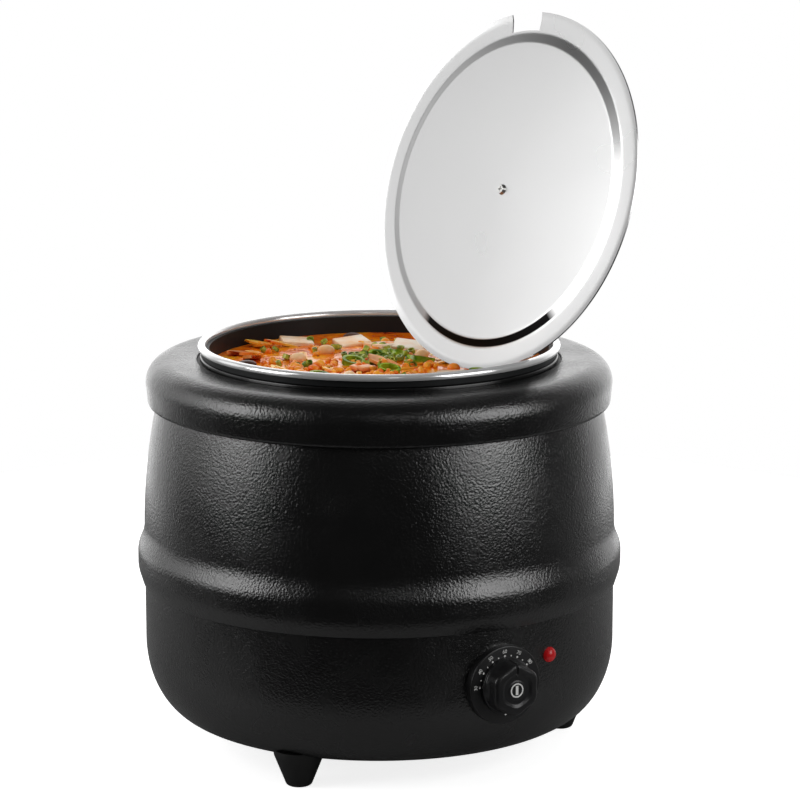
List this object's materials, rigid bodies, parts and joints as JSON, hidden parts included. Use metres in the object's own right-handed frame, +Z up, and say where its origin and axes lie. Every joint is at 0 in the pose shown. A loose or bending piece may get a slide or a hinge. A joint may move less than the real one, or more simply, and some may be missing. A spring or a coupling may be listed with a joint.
{
  "type": "soup kettle",
  "caption": "Electric wet-well soup kettle with a round belted black body on feet, a lift-out pot, a loose notched lid, a control knob with a dial and a pilot lamp.",
  "frame": {"origin": "on the counter, under the kettle's axis", "axes": "+Z up along the kettle's axis, -Y from the axis towards the control knob, +X to the right of the knob seen from the front"},
  "size_m": [0.34, 0.3718, 0.5105],
  "materials": {
    "black_enamel": "gloss black enamel with a fine orange peel",
    "bright_steel": "polished stainless steel",
    "lid_steel": "satin stainless sheet",
    "well_steel": "dark coated steel",
    "galvanised": "galvanised sheet",
    "screws": "zinc plated",
    "foot_rubber": "matt black",
    "black_plastic": "satin black moulding",
    "gasket_rubber": "black silicone",
    "heater_sheath": "heat-dulled steel sheath",
    "phenolic": "cream thermoset",
    "copper": "bare copper",
    "lamp_red": "red translucent lens",
    "brass": "plain brass",
    "wire_red": "silicone-sheathed wire"
  },
  "bodies": {
    "kettle": {"lower_bowl": "black_enamel", "upper_shell": "black_enamel", "top_collar": "black_enamel", "water_well": "well_steel", "neck_gasket": "gasket_rubber", "well_screws": "screws", "base_cover": "galvanised", "base_cover_screws": "screws", "foot_front": "foot_rubber", "foot_side": "foot_rubber", "foot_rear": "foot_rubber", "foot_screws": "screws", "foot_nuts": "screws", "heater_ring": "heater_sheath", "heater_clamp_plate": "galvanised", "clamp_stud": "screws", "clamp_nut": "screws", "thermostat_body": "phenolic", "thermostat_screws": "screws", "sensor_bulb": "copper", "bulb_clip": "galvanised", "capillary_tube": "copper", "dial_plate": "black_plastic", "lamp_lens": "lamp_red", "lamp_body": "phenolic", "lamp_nut": "screws", "cable_gland": "black_plastic", "gland_nut": "black_plastic", "terminal_block": "phenolic", "earth_screw": "brass", "internal_wires": "wire_red"},
    "pot": {"soup_pot": "well_steel", "pot_rim_band": "bright_steel"},
    "lid": {"lid_plate": "lid_steel", "lid_knob": "black_plastic", "lid_knob_screw": "screws", "lid_knob_washer": "screws"},
    "control": {"control_knob": "black_plastic", "thermostat_shaft": "screws"}
  },
  "joints": [
    {"name": "pot_lift", "type": "slide", "parent": "kettle", "child": "pot", "axis": [0, 0, 1], "range_m": [0, 0.24]},
    {"name": "lid_lift", "type": "slide", "parent": "pot", "child": "lid", "axis": [0, 0, 1], "range_m": [0, 0.2]},
    {"name": "knob_turn", "type": "hinge", "parent": "kettle", "child": "control", "pos_m": [0, -0.17, 0.0785], "axis": [0, -1, 0], "range_deg": [-54, 179]}
  ]
}
